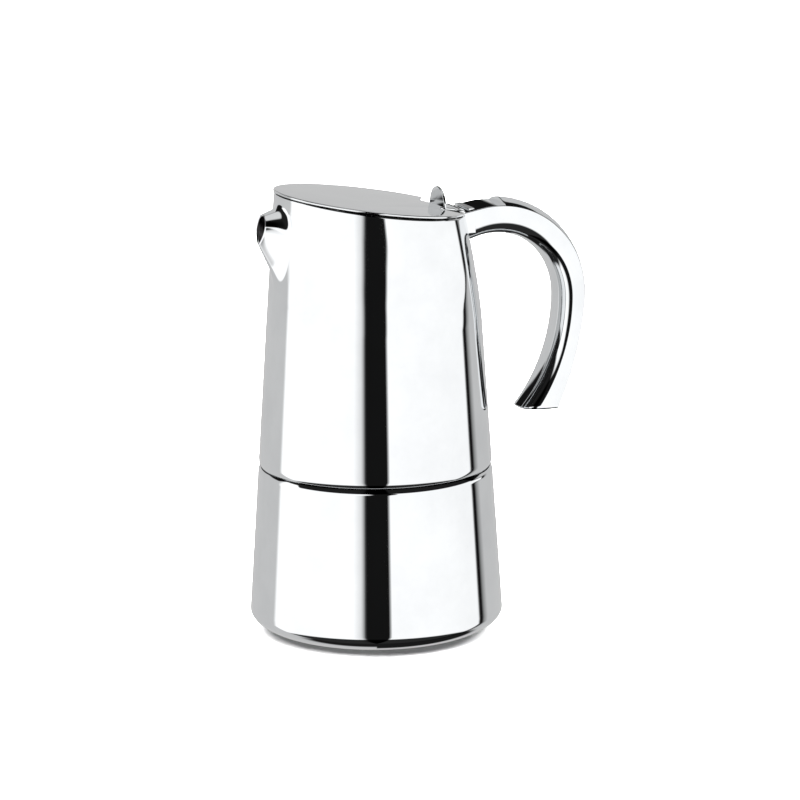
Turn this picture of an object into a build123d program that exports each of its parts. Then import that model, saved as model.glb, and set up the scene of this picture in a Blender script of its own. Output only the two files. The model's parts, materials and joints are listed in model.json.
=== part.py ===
from build123d import *
import os
from math import cos, radians, sin, sqrt, tan

# Stovetop coffee maker in polished steel, with an open hook handle.
# Millimetres. +Z is up, the spout points along -X and the handle along +X.
# The origin is the centre of the base, on the surface that it stands on.

# ---------------------------------------------------------------- driving dimensions

# Outside of the body
BASE_RADIUS = 50.2            # widest radius, just above the rounded bottom edge
BASE_ROUND_HEIGHT = 9.0       # height of the rounded bottom edge
BASE_ROUND_DEPTH = 22.0       # how far the bottom edge rounds in
TAPER = 0.0655                # radius lost for each millimetre of height
SEAM_HEIGHT = 67.2            # where the two halves meet
RIM_HEIGHT = 171.9            # the rim at the axis
RIM_PULL = 4.0                # how far the wall bends in at the rim, on the handle side
RIM_PULL_DROP = 45.9          # how far below RIM_HEIGHT it starts to bend in
RIM_PULL_POWER = 1.6          # how sharply it bends
RIM_PULL_STEPS = 4            # lofted steps of the bent part
RIM_SLANT = 8.2               # degrees, high at the spout
BODY_WALL = 0.9
LIP_HEIGHT = 2.6              # height of the rolled edge on each side of the seam
LIP_DEPTH = 0.8               # how far it rolls in
SEAM_GAP = 0.3                # between the two halves when screwed home

# Boiler neck and funnel
SHOULDER_WIDTH = 10.4         # from the wall at the seam in to the neck's thread land
NECK_WALL = 2.0
NECK_HEIGHT = 13.0            # above the seam
NECK_FLANGE = 3.0             # flange under the boiler's shoulder, beyond the neck
NECK_SKIRT = 5.0              # length of the neck below the shoulder
FUNNEL_WALL = 0.8
FUNNEL_DEPTH = 22.0           # depth of the coffee basket below its rim
FUNNEL_CONE = 9.0             # height of the cone below the basket
STEM_RADIUS = 4.5
STEM_LAP = 1.2                # height over which the cone's foot wraps the stem
STEM_FLOOR_GAP = 6.0          # between the stem's end and the boiler's floor
SIEVE_WALL = 0.8
SIEVE_HOLE = 0.9              # radius of a hole in the sieves
SIEVE_MARGIN = 4.0            # from the last ring of holes out to the sieve's edge
SIEVE_RINGS = 4

# Collector
THREAD_CLEARANCE = 0.3
RING_WALL = 3.0               # wall of the collector's threaded ring
GASKET_HEIGHT = 3.6
GASKET_GAP = 0.1              # between the funnel's rim and the gasket, screwed home
GASKET_RIM = 5.0              # width of the gasket outside the filter
GASKET_LEDGE = 3.5            # width of its ledge under the filter
FLOOR_GAP = 0.2               # between the gasket and the collector's floor
FLOOR_LAP = 2.0               # how far the floor's flat rim reaches in over the filter
FLOOR_DISH = 4.0              # rise of the collector's floor to its centre
RISER_RADIUS = 8.0            # at the foot
RISER_TOP_RADIUS = 5.0
CAP_HEIGHT = 9.0
CAP_DROP = 26.9               # the riser cap's top below RIM_HEIGHT
CAP_WALL = 0.8
WINDOW_WIDTH = 5.0            # of the cap's side windows
WINDOW_HEIGHT = 3.0

# Spout
SPOUT_REACH = 7.6             # the middle of the mouth, out from the wall
MOUTH_LEAN = 10.0             # degrees that the mouth leans out at its foot
MOUTH_DROP = 0.9              # the mouth's top below RIM_HEIGHT
MOUTH_HEIGHT = 12.0
MOUTH_HALF = 4.6              # half the mouth's greatest width
SPOUT_RISE = 2.4              # the top of the spout's root above RIM_HEIGHT
SPOUT_HEIGHT = 30.8           # of its root on the wall
SPOUT_HALF = 9.2              # half its greatest width on the wall
SPOUT_WALL = 0.8
SPOUT_ROOT = 5.0              # how far inside the wall the spout's block starts
LEAF_MIDDLE = 0.57            # the leaf section's widest level, as a share of its height
LEAF_BELLY = (0.72, 0.42)     # a point of its lower edge, as shares of its width and height
LEAF_POINT = (0.55, 1.0)      # direction of its lower edge at the point

# Handle. The edge line is the crisp edge between its side and its crowned back.
HANDLE_WIDTH = 17.2
HANDLE_CROWN = 2.3            # rise of the crowned back above the edges
HANDLE_BEND = 38.0            # radius of the edge line's bend
HANDLE_BEND_OUT = 13.6        # centre of that bend, out from the rim
HANDLE_BEND_DROP = 41.4       # and below RIM_HEIGHT
HANDLE_DROP = 125.0           # radius of the gentler lower curve
HANDLE_ROOT_ANGLE = 10.0      # degrees that the root climbs away from the body
HANDLE_TURN = 5.0             # degrees past upright where the bend becomes gentler
HANDLE_LENGTH = 46.3          # the cut end below that centre
HANDLE_INSET = 0.7            # where the flat deck starts, inside the rim
DECK_LENGTH = 17.6            # the deck, up to the step where the crowned back starts
DECK_LAP = 2.0                # how far the deck runs on under the crowned back
HANDLE_ROOT_LENGTH = 14.0     # straight run before the bend, cut to the body
DROP_SPAN = 34.0              # degrees of the lower curve, past the cut end
HANDLE_WALL = 1.2
BELLY_BEND = 27.5             # radius of the belly line's bend
BELLY_BEND_OUT = 14.3         # centre of that bend, out from the rim
BELLY_BEND_DROP = 42.9        # and below RIM_HEIGHT
BELLY_DROP = 66.0             # radius of the belly's gentler lower curve
BELLY_ROOT_ANGLE = 16.0       # degrees that the underside of the root climbs
BELLY_ROUND = 5.4             # rounding of the belly's edges
CAP_PLATE = 1.4

# Lid and hinge
LID_OVERHANG = 0.1
LID_THICK = 0.9
LID_GAP = 0.35                # between the rim and the closed lid
NOTCH_RIM_Y = 21.3            # where each notch starts on the lid's edge
NOTCH_INSET = 12.0            # the notch's inner corner, inside the rim
NOTCH_Y = 9.6
NOTCH_SLOPE = 2.0             # from that corner out to where the tongue's edge starts
TONGUE_THICK = 1.2
TONGUE_LAP = 6.0              # how far its plate runs in under the disc
TAB_INSET = 8.3               # the tab's middle, inside the rim
TAB_HEIGHT = 7.5
TAB_WIDTH = 15.2
TAB_THICK = 1.1
TAB_FOOT = 1.0                # how far the tab reaches down to meet the slanted lid
HINGE_INSET = 1.5             # the pin's centre, inside the rim
HINGE_DROP = 1.9              # and below the lid's top plane
PIN_RADIUS = 0.9
PIN_CLEARANCE = 0.06
BARREL_RADIUS = 1.9
HINGE_GAP = 0.3               # between the turning lid and the bracket
EAR_WALL = 1.5                # the bracket's ears, beside the barrel
BRACKET_FOOT = 8.0            # height of the bracket's block below the pin
BRACKET_BACK = 5.0            # how far it runs in under the deck

# Safety valve
VALVE_HEIGHT = 42.0
VALVE_BOSS_RADIUS = 7.5
VALVE_BOSS_DEPTH = 4.5
VALVE_BOSS_PROUD = 0.9
VALVE_HEX = 12.0              # across the flats
VALVE_HEX_LENGTH = 5.0
VALVE_NOSE_RADIUS = 4.6
VALVE_NOSE_LENGTH = 4.0
VALVE_SHANK_RADIUS = 4.2
VALVE_SHANK_LENGTH = 5.5
VALVE_BORE = 1.6
VALVE_CHAMBER = 2.7
VALVE_SEAT_DEPTH = 1.5        # from the shank's inner end to the poppet's seat
VALVE_CLEARANCE = 0.08
WASHER_RADIUS = 6.8
WASHER_THICK = 1.0
POPPET_HEAD = 2.3
POPPET_HEAD_LENGTH = 1.4
POPPET_STEM = 0.9
POPPET_PROUD = 1.6
SPRING_WIRE = 0.5
SPRING_RADIUS = 1.75
SPRING_TURNS = 5
VALVE_CAP_THICK = 1.6

# ---------------------------------------------------------------- derived values

def wall_radius(height):
    """Outside radius of the tapered wall, before it bends in under the rim."""
    return BASE_RADIUS - TAPER * (height - BASE_ROUND_HEIGHT)


HUGE = 400.0                  # longer than anything that it cuts or crosses
SAME_SPOT = 0.01              # points nearer than this are one point

# Rim and bent wall
SLOPE = tan(radians(RIM_SLANT))
RIM_BACK = (wall_radius(RIM_HEIGHT) - RIM_PULL) / (1 - TAPER * SLOPE)
RIM_FRONT = wall_radius(RIM_HEIGHT) / (1 + TAPER * SLOPE)
RIM_RADIUS = (RIM_FRONT + RIM_BACK) / 2
RIM_OFFSET = (RIM_BACK - RIM_FRONT) / 2
STRAIGHT_TOP = RIM_HEIGHT - RIM_PULL_DROP

# Seam, neck, funnel and gasket
BOILER_TOP = SEAM_HEIGHT - SEAM_GAP / 2
COLLECTOR_FOOT = SEAM_HEIGHT + SEAM_GAP / 2
NECK_RADIUS = wall_radius(SEAM_HEIGHT) - SHOULDER_WIDTH
NECK_TOP = SEAM_HEIGHT + NECK_HEIGHT
NECK_BORE = NECK_RADIUS - NECK_WALL
RING_BORE = NECK_RADIUS + THREAD_CLEARANCE
RING_RADIUS = RING_BORE + RING_WALL
FUNNEL_RADIUS = NECK_BORE - 2 * THREAD_CLEARANCE
FUNNEL_TOP = NECK_TOP + FUNNEL_WALL
FUNNEL_FLOOR = NECK_TOP - FUNNEL_DEPTH
STEM_TOP = FUNNEL_FLOOR - FUNNEL_CONE
FILTER_RADIUS = NECK_RADIUS - GASKET_RIM
GASKET_INSIDE = FILTER_RADIUS - GASKET_LEDGE
GASKET_FOOT = FUNNEL_TOP + GASKET_GAP
FILTER_FOOT = GASKET_FOOT + GASKET_HEIGHT - SIEVE_WALL
FLOOR_FOOT = GASKET_FOOT + GASKET_HEIGHT + FLOOR_GAP
FLOOR_CENTRE = FLOOR_FOOT + FLOOR_DISH
RISER_TOP = RIM_HEIGHT - CAP_DROP - CAP_HEIGHT

# Spout
SPOUT_TOP = RIM_HEIGHT + SPOUT_RISE
SPOUT_FOOT = SPOUT_TOP - SPOUT_HEIGHT
MOUTH_TOP = RIM_HEIGHT - MOUTH_DROP
MOUTH_FOOT = MOUTH_TOP - MOUTH_HEIGHT
MOUTH_LEVEL = (MOUTH_TOP + MOUTH_FOOT) / 2
MOUTH_X = -wall_radius(MOUTH_LEVEL) - SPOUT_REACH

# Handle
HANDLE_BEND_X = RIM_BACK + HANDLE_BEND_OUT
HANDLE_BEND_Z = RIM_HEIGHT - HANDLE_BEND_DROP
BELLY_BEND_X = RIM_BACK + BELLY_BEND_OUT
BELLY_BEND_Z = RIM_HEIGHT - BELLY_BEND_DROP
HANDLE_END = HANDLE_BEND_Z - HANDLE_LENGTH
HANDLE_START = RIM_BACK - HANDLE_INSET
DECK_END = HANDLE_START + DECK_LENGTH

# Lid and hinge
LID_RADIUS = RIM_RADIUS + LID_OVERHANG
LID_TOP = RIM_HEIGHT + (LID_GAP + LID_THICK) / cos(radians(RIM_SLANT))
HINGE_X = RIM_BACK - HINGE_INSET
HINGE_Z = LID_TOP - SLOPE * HINGE_X - HINGE_DROP / cos(radians(RIM_SLANT))
NOTCH_X = RIM_BACK - NOTCH_INSET
TAB_X = RIM_BACK - TAB_INSET
BRACKET_HALF = HANDLE_WIDTH / 2
SLOT_HALF = BRACKET_HALF - EAR_WALL
TONGUE_HALF = SLOT_HALF - HINGE_GAP
SWING_RADIUS = sqrt((BARREL_RADIUS + HINGE_GAP) ** 2 + HINGE_DROP ** 2) + HINGE_GAP


def slant_plane(height):
    """A plane parallel to the rim that crosses the axis at this height."""
    normal = (sin(radians(RIM_SLANT)), 0, cos(radians(RIM_SLANT)))
    along = (cos(radians(RIM_SLANT)), 0, -sin(radians(RIM_SLANT)))
    return Plane(origin=(0, 0, height), x_dir=along, z_dir=normal)


def turned(points):
    """A solid of revolution about the vertical axis, from (radius, height) points."""
    outline = Polyline([(r, 0, z) for r, z in points], close=True)
    return revolve(make_face(outline), Axis.Z)


def tube(outer, inner, low, high):
    """A ring about the vertical axis."""
    return turned([(inner, low), (outer, low), (outer, high), (inner, high)])


def along_y(radius, start, end, x=0.0, z=0.0):
    """A cylinder that runs along Y."""
    plane = Plane(origin=(x, start, z), x_dir=(1, 0, 0), z_dir=(0, 1, 0))
    return extrude(plane * Circle(radius), end - start)


# ---------------------------------------------------------------- boiler

def boiler_outline(inset):
    """Half outline of the boiler, moved inwards by an inset, from the axis to the lip."""
    floor = inset
    corner_radius = BASE_ROUND_DEPTH - inset
    corner_height = BASE_ROUND_HEIGHT - inset
    middle = (BASE_RADIUS - BASE_ROUND_DEPTH, BASE_ROUND_HEIGHT)
    lip_low = BOILER_TOP - LIP_HEIGHT
    lip_high = BOILER_TOP - inset
    lip_radius = wall_radius(BOILER_TOP) - LIP_DEPTH
    bottom = Line((0, 0, floor), (middle[0], 0, floor))
    corner = EllipticalCenterArc(
        (middle[0], middle[1]), corner_radius, corner_height, start_angle=270, arc_size=90
    )
    corner = Plane.XZ * corner
    wall_top = (wall_radius(lip_low) - inset, 0, lip_low - inset)
    wall = Line(corner @ 1, wall_top)
    tip = (lip_radius - inset, 0, lip_high)
    lip = TangentArc([wall_top, tip], tangent=wall % 1)
    shoulder = Line(tip, (0, 0, lip_high))
    axis = Line((0, 0, lip_high), (0, 0, floor))
    return make_face(Curve() + [bottom, corner, wall, lip, shoulder, axis])


def make_boiler_shell():
    shell = revolve(boiler_outline(0), Axis.Z) - revolve(boiler_outline(BODY_WALL), Axis.Z)
    mouth = Pos(0, 0, BOILER_TOP) * Cylinder(NECK_RADIUS, 4 * BODY_WALL)
    boss_hole = along_y(VALVE_BOSS_RADIUS, BASE_RADIUS / 2, HUGE, z=VALVE_HEIGHT)
    return shell - mouth - boss_hole


def make_boiler_neck():
    under = BOILER_TOP - BODY_WALL
    return turned([
        (NECK_BORE, under - NECK_SKIRT),
        (NECK_RADIUS, under - NECK_SKIRT),
        (NECK_RADIUS, under - 2 * BODY_WALL),
        (NECK_RADIUS + NECK_FLANGE, under - 2 * BODY_WALL),
        (NECK_RADIUS + NECK_FLANGE, under),
        (NECK_RADIUS, under),
        (NECK_RADIUS, NECK_TOP),
        (NECK_BORE, NECK_TOP),
    ])


# ---------------------------------------------------------------- safety valve

BOSS_FACE = wall_radius(VALVE_HEIGHT) + VALVE_BOSS_PROUD
WASHER_FACE = BOSS_FACE + WASHER_THICK
HEX_FACE = WASHER_FACE + VALVE_HEX_LENGTH
NOSE_FACE = HEX_FACE + VALVE_NOSE_LENGTH
SHANK_END = WASHER_FACE - VALVE_SHANK_LENGTH
VALVE_SEAT = SHANK_END + VALVE_SEAT_DEPTH
CAP_INNER = NOSE_FACE - VALVE_CAP_THICK
SPRING_START = VALVE_SEAT + POPPET_HEAD_LENGTH


def on_valve(radius, start, end):
    return along_y(radius, start, end, z=VALVE_HEIGHT)


def make_valve_boss():
    outer = on_valve(VALVE_BOSS_RADIUS, BOSS_FACE - VALVE_BOSS_DEPTH, BOSS_FACE)
    return outer - on_valve(VALVE_SHANK_RADIUS + VALVE_CLEARANCE, 0, HUGE)


def make_valve_washer():
    outer = on_valve(WASHER_RADIUS, BOSS_FACE, WASHER_FACE)
    return outer - on_valve(VALVE_SHANK_RADIUS + VALVE_CLEARANCE, 0, HUGE)


def make_valve_body():
    plane = Plane(origin=(0, WASHER_FACE, VALVE_HEIGHT), x_dir=(1, 0, 0), z_dir=(0, 1, 0))
    flats = plane * RegularPolygon(VALVE_HEX / 2, 6, major_radius=False)
    hexagon = extrude(flats, VALVE_HEX_LENGTH)
    shank = on_valve(VALVE_SHANK_RADIUS, SHANK_END, WASHER_FACE)
    nose = on_valve(VALVE_NOSE_RADIUS, HEX_FACE, NOSE_FACE)
    bore = on_valve(VALVE_BORE, 0, HUGE)
    chamber = on_valve(VALVE_CHAMBER, VALVE_SEAT, HUGE)
    return hexagon + shank + nose - bore - chamber


def make_valve_cap():
    ring = on_valve(VALVE_CHAMBER, CAP_INNER, NOSE_FACE)
    return ring - on_valve(POPPET_STEM + VALVE_CLEARANCE, 0, HUGE)


def make_valve_poppet():
    head = on_valve(POPPET_HEAD, VALVE_SEAT, VALVE_SEAT + POPPET_HEAD_LENGTH)
    stem = on_valve(POPPET_STEM, VALVE_SEAT, NOSE_FACE + POPPET_PROUD)
    return head + stem


def make_valve_spring():
    wire = SPRING_WIRE / 2
    length = CAP_INNER - SPRING_START - SPRING_WIRE
    coil = Helix(pitch=length / SPRING_TURNS, height=length, radius=SPRING_RADIUS)
    section = Plane(origin=coil @ 0, z_dir=coil % 0) * Circle(wire)
    spring = sweep(section, path=coil)
    return Pos(0, SPRING_START + wire, VALVE_HEIGHT) * Rot(-90, 0, 0) * spring


# ---------------------------------------------------------------- funnel

def perforated(radius, low, thick, rings):
    """A round plate with rings of small holes."""
    plate = tube(radius, 0, low, low + thick)
    spots = [(0, 0)]
    for ring in range(1, rings + 1):
        reach = ring * (radius - SIEVE_MARGIN) / rings
        spots += [
            (reach * cos(radians(60 * turn / ring)), reach * sin(radians(60 * turn / ring)))
            for turn in range(6 * ring)
        ]
    holes = [Pos(x, y, low + thick / 2) * Cylinder(SIEVE_HOLE, 3 * thick) for x, y in spots]
    return plate - holes


def make_funnel_cup():
    wall = FUNNEL_WALL
    return turned([
        (STEM_RADIUS, STEM_TOP),
        (FUNNEL_RADIUS, FUNNEL_FLOOR),
        (FUNNEL_RADIUS, NECK_TOP),
        (NECK_RADIUS, NECK_TOP),
        (NECK_RADIUS, FUNNEL_TOP),
        (FUNNEL_RADIUS - wall, FUNNEL_TOP),
        (FUNNEL_RADIUS - wall, FUNNEL_FLOOR + wall / 2),
        (STEM_RADIUS, STEM_TOP + STEM_LAP),
    ])


def make_funnel_stem():
    foot = BODY_WALL + STEM_FLOOR_GAP
    return tube(STEM_RADIUS, STEM_RADIUS - FUNNEL_WALL, foot, STEM_TOP + STEM_LAP)


def make_funnel_sieve():
    low = FUNNEL_FLOOR + FUNNEL_WALL / 2
    return perforated(FUNNEL_RADIUS - FUNNEL_WALL, low, SIEVE_WALL, SIEVE_RINGS)


# ---------------------------------------------------------------- gasket and filter

def make_gasket():
    top = GASKET_FOOT + GASKET_HEIGHT
    return turned([
        (GASKET_INSIDE, GASKET_FOOT),
        (NECK_RADIUS, GASKET_FOOT),
        (NECK_RADIUS, top),
        (FILTER_RADIUS, top),
        (FILTER_RADIUS, FILTER_FOOT),
        (GASKET_INSIDE, FILTER_FOOT),
    ])


def make_filter_plate():
    return perforated(FILTER_RADIUS, FILTER_FOOT, SIEVE_WALL, SIEVE_RINGS)


# ---------------------------------------------------------------- collector

def collector_block(inset):
    """The collector as a filled block, moved inwards by an inset, up past the rim."""
    lip_top = COLLECTOR_FOOT + LIP_HEIGHT
    lip_radius = wall_radius(COLLECTOR_FOOT) - LIP_DEPTH
    foot = (0, 0, COLLECTOR_FOOT + inset)
    tip = (lip_radius - inset, 0, COLLECTOR_FOOT + inset)
    wall_foot = (wall_radius(lip_top) - inset, 0, lip_top + inset)
    wall_top = (wall_radius(STRAIGHT_TOP) - inset, 0, STRAIGHT_TOP)
    wall = Line(wall_top, wall_foot)
    lip = TangentArc([wall_foot, tip], tangent=wall % 1)
    head = (0, 0, STRAIGHT_TOP)
    edges = [wall, lip, Line(tip, foot), Line(foot, head), Line(head, wall_top)]
    lower = revolve(make_face(Curve() + edges), Axis.Z)
    upper = loft([
        Pos(centre, 0, height) * Circle(radius - inset)
        for centre, height, radius in upper_circles()
    ])
    return lower + upper


def upper_circles():
    """Centre, height and radius of the circles that the upper wall passes through."""
    rise = RIM_HEIGHT + SLOPE * BASE_RADIUS - STRAIGHT_TOP
    rise_at_back = RIM_HEIGHT - SLOPE * RIM_BACK - STRAIGHT_TOP
    circles = []
    for step in range(RIM_PULL_STEPS + 1):
        climb = rise * step / RIM_PULL_STEPS
        height = STRAIGHT_TOP + climb
        bent = RIM_PULL * (climb / rise_at_back) ** RIM_PULL_POWER
        spout_side = wall_radius(height)
        handle_side = spout_side - bent
        circles.append(((handle_side - spout_side) / 2, height, (handle_side + spout_side) / 2))
    return circles


def above_rim(height=RIM_HEIGHT):
    """Everything above the slanted rim."""
    return extrude(slant_plane(height) * Rectangle(HUGE, HUGE), HUGE / 2)


def make_collector_shell():
    shell = collector_block(0) - collector_block(BODY_WALL) - above_rim()
    foot_hole = Pos(0, 0, COLLECTOR_FOOT) * Cylinder(RING_RADIUS, 4 * BODY_WALL)
    return shell - foot_hole - spout_block(SPOUT_WALL) - bracket_block()


def make_collector_ring():
    return tube(RING_RADIUS, RING_BORE, COLLECTOR_FOOT, FLOOR_FOOT)


def make_collector_floor():
    wall = BODY_WALL
    reach = wall_radius(FLOOR_FOOT + wall) - BODY_WALL
    return turned([
        (RISER_RADIUS, FLOOR_CENTRE),
        (FILTER_RADIUS - FLOOR_LAP, FLOOR_FOOT),
        (reach, FLOOR_FOOT),
        (reach, FLOOR_FOOT + wall),
        (FILTER_RADIUS - FLOOR_LAP, FLOOR_FOOT + wall),
        (RISER_RADIUS, FLOOR_CENTRE + wall),
    ])


def make_riser_tube():
    wall = CAP_WALL
    return turned([
        (RISER_RADIUS - wall, FLOOR_CENTRE),
        (RISER_RADIUS, FLOOR_CENTRE),
        (RISER_TOP_RADIUS, RISER_TOP),
        (RISER_TOP_RADIUS - wall, RISER_TOP),
    ])


def make_riser_cap():
    """A closed cap that sits on the riser, with two side windows for the coffee."""
    wall = CAP_WALL
    radius = RISER_TOP_RADIUS + wall
    shell = turned([
        (0, RISER_TOP + CAP_HEIGHT - wall),
        (RISER_TOP_RADIUS, RISER_TOP + CAP_HEIGHT - 2 * wall),
        (RISER_TOP_RADIUS, RISER_TOP),
        (radius, RISER_TOP),
        (radius, RISER_TOP + CAP_HEIGHT - 2 * wall),
        (0, RISER_TOP + CAP_HEIGHT),
    ])
    seat = tube(radius, RISER_TOP_RADIUS - wall, RISER_TOP, RISER_TOP + wall)
    window = Pos(0, 0, RISER_TOP + CAP_HEIGHT / 2) * Box(WINDOW_WIDTH, 4 * radius, WINDOW_HEIGHT)
    return shell + seat - window


# ---------------------------------------------------------------- spout

def leaf(plane, half, top, foot, inset):
    """A closed leaf, rounded above and pointed below, in a plane whose Y is up."""
    middle = foot + (top - foot) * LEAF_MIDDLE
    wide = half - inset
    high = top - inset
    low = foot + 2 * inset
    crown_left = EllipticalCenterArc((0, middle), wide, high - middle, start_angle=90, arc_size=90)
    crown_right = EllipticalCenterArc((0, middle), wide, high - middle, start_angle=0, arc_size=90)
    belly_x = wide * LEAF_BELLY[0]
    belly_z = low + (middle - low) * LEAF_BELLY[1]
    point_x, point_z = LEAF_POINT
    left = Spline(
        [(-wide, middle), (-belly_x, belly_z), (0, low)], tangents=[(0, -1), (point_x, -point_z)]
    )
    right = Spline(
        [(0, low), (belly_x, belly_z), (wide, middle)], tangents=[(point_x, point_z), (0, 1)]
    )
    return plane * make_face(Curve() + [crown_right, crown_left, left, right])


def carried_back(on_wall, at_mouth, share):
    """The size at the root that gives on_wall this share of the way to the mouth."""
    return (on_wall - share * at_mouth) / (1 - share)


def spout_block(inset):
    """The spout as a filled block, from inside the wall to past the mouth."""
    root_x = SPOUT_ROOT - wall_radius(SPOUT_TOP)
    root = Plane(origin=(root_x, 0, 0), x_dir=(0, -1, 0), z_dir=(-1, 0, 0))
    lean = radians(MOUTH_LEAN)
    outward = (-cos(lean), 0, sin(lean))
    front = Plane(origin=(MOUTH_X, 0, MOUTH_LEVEL), x_dir=(0, -1, 0), z_dir=outward)
    half_mouth = MOUTH_HEIGHT / 2 / cos(lean)
    top_share = (-wall_radius(SPOUT_TOP) - root_x) / (MOUTH_X - root_x)
    foot_share = (-wall_radius(SPOUT_FOOT) - root_x) / (MOUTH_X - root_x)
    root_top = carried_back(SPOUT_TOP, MOUTH_TOP, top_share)
    root_foot = carried_back(SPOUT_FOOT, MOUTH_FOOT, foot_share)
    side_x = -sqrt(wall_radius(MOUTH_LEVEL) ** 2 - SPOUT_HALF ** 2)
    root_half = carried_back(SPOUT_HALF, MOUTH_HALF, (side_x - root_x) / (MOUTH_X - root_x))
    wide = leaf(root, root_half, root_top, root_foot, inset)
    narrow = leaf(front, MOUTH_HALF, half_mouth, -half_mouth, inset)
    return loft([wide, narrow])


def make_spout():
    outer = spout_block(0) - spout_block(SPOUT_WALL)
    return outer - collector_block(0) - above_rim()


# ---------------------------------------------------------------- handle

def hook_line(centre, bend_radius, drop_radius, root_angle, turn, outward):
    """A root line, a bend and a gentler drop, all moved away from the bend's centre."""
    climb = radians(root_angle)
    turned_by = radians(turn)
    middle = radians((90 + root_angle - turn) / 2)
    fall = radians(turn + DROP_SPAN / 2)
    last = radians(turn + DROP_SPAN)
    bend_reach = bend_radius + outward
    drop_reach = drop_radius + outward
    last_spoke = Vector(cos(turned_by), 0, -sin(turned_by))
    drop_centre = centre - last_spoke * (drop_radius - bend_radius)
    bend_start = centre + Vector(-sin(climb), 0, cos(climb)) * bend_reach
    bend_middle = centre + Vector(cos(middle), 0, sin(middle)) * bend_reach
    bend_end = centre + last_spoke * bend_reach
    drop_middle = drop_centre + Vector(cos(fall), 0, -sin(fall)) * drop_reach
    drop_end = drop_centre + Vector(cos(last), 0, -sin(last)) * drop_reach
    root_start = bend_start - Vector(cos(climb), 0, sin(climb)) * HANDLE_ROOT_LENGTH
    return [
        Line(root_start, bend_start),
        ThreePointArc(bend_start, bend_middle, bend_end),
        ThreePointArc(bend_end, drop_middle, drop_end),
    ]


def edge_line(outward=0.0):
    """The crisp edge line between the handle's sides and its back."""
    centre = Vector(HANDLE_BEND_X, 0, HANDLE_BEND_Z)
    return hook_line(centre, HANDLE_BEND, HANDLE_DROP, HANDLE_ROOT_ANGLE, HANDLE_TURN, outward)


def belly_line(outward=0.0):
    """The middle line of the handle's inner side."""
    centre = Vector(BELLY_BEND_X, 0, BELLY_BEND_Z)
    return hook_line(centre, BELLY_BEND, BELLY_DROP, BELLY_ROOT_ANGLE, 0.0, outward)


def between(outer, inner, half):
    """The handle between two hook lines, extruded to both sides of its middle plane."""
    ends = [Line(outer[-1] @ 1, inner[-1] @ 1), Line(inner[0] @ 0, outer[0] @ 0)]
    return extrude(make_face(Curve() + outer + inner + ends), half, both=True)


def rounded_belly(outer, inner, half, radius):
    """The handle between two hook lines, with the edges along the inner one rounded."""
    block = between(outer, inner, half)
    rims = []
    for curve in inner:
        for side in (half, -half):
            spot = curve @ 0.5 + Vector(0, side, 0)
            rims += [edge for edge in block.edges() if (edge @ 0.5 - spot).length < SAME_SPOT]
    return fillet(rims, radius)


def channel_block():
    """Sides and belly of the handle, filled."""
    return rounded_belly(edge_line(), belly_line(), HANDLE_WIDTH / 2, BELLY_ROUND)


def channel_void():
    """The hollow of the channel, open through the back."""
    half = HANDLE_WIDTH / 2 - HANDLE_WALL
    round_inside = BELLY_ROUND - HANDLE_WALL
    return rounded_belly(edge_line(HANDLE_CROWN), belly_line(HANDLE_WALL), half, round_inside)


def crown_block():
    """The crowned back, closed along the edge line."""
    half = HANDLE_WIDTH / 2
    path = Wire(edge_line())
    across = Plane(origin=path @ 0, x_dir=(0, 1, 0), z_dir=path % 0)
    back = ThreePointArc((-half, 0), (0, HANDLE_CROWN), (half, 0))
    section = across * make_face(Curve() + [back, Line((half, 0), (-half, 0))])
    return sweep(section, path=path)


def below_end(extra=0.0):
    """Everything below the handle's cut end."""
    downwards = (Align.CENTER, Align.CENTER, Align.MAX)
    return Pos(0, 0, HANDLE_END + extra) * Box(HUGE, HUGE, HUGE, align=downwards)


def before(x):
    """Everything on the body's side of an upright plane."""
    return Pos(x, 0, 0) * Box(HUGE, HUGE, HUGE, align=(Align.MAX, Align.CENTER, Align.MIN))


def beyond(x):
    """Everything past an upright plane, away from the body."""
    return Pos(x, 0, 0) * Box(HUGE, HUGE, HUGE, align=(Align.MIN, Align.CENTER, Align.MIN))


def make_handle_channel():
    channel = channel_block() - channel_void() - below_end(CAP_PLATE)
    return channel - collector_block(0) - before(HANDLE_START) - bracket_block()


def make_handle_cover():
    return crown_block() - before(DECK_END) - below_end(CAP_PLATE)


def make_handle_deck():
    """The flat deck between the channel's sides, where the opened lid's tab lies."""
    strip = between(edge_line(), edge_line(-HANDLE_WALL), HANDLE_WIDTH / 2 - HANDLE_WALL)
    strip = strip - before(HANDLE_START) - beyond(DECK_END + DECK_LAP)
    return strip - collector_block(0) - bracket_block()


def make_handle_end_cap():
    """The plate that closes the handle's cut end."""
    upwards = (Align.CENTER, Align.CENTER, Align.MIN)
    slab = Pos(0, 0, HANDLE_END) * Box(HUGE, HUGE, CAP_PLATE, align=upwards)
    return (slab & channel_block()) + (slab & crown_block())


# ---------------------------------------------------------------- hinge and lid

def bracket_block():
    """The block under the deck's front edge that carries the hinge pin."""
    low = HINGE_Z - BRACKET_FOOT
    front = HINGE_X - BARREL_RADIUS
    back = HANDLE_START + BRACKET_BACK
    high = HINGE_Z + HINGE_DROP
    corner = (Align.MIN, Align.CENTER, Align.MIN)
    return Pos(front, 0, low) * Box(back - front, 2 * BRACKET_HALF, high - low, align=corner)


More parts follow.
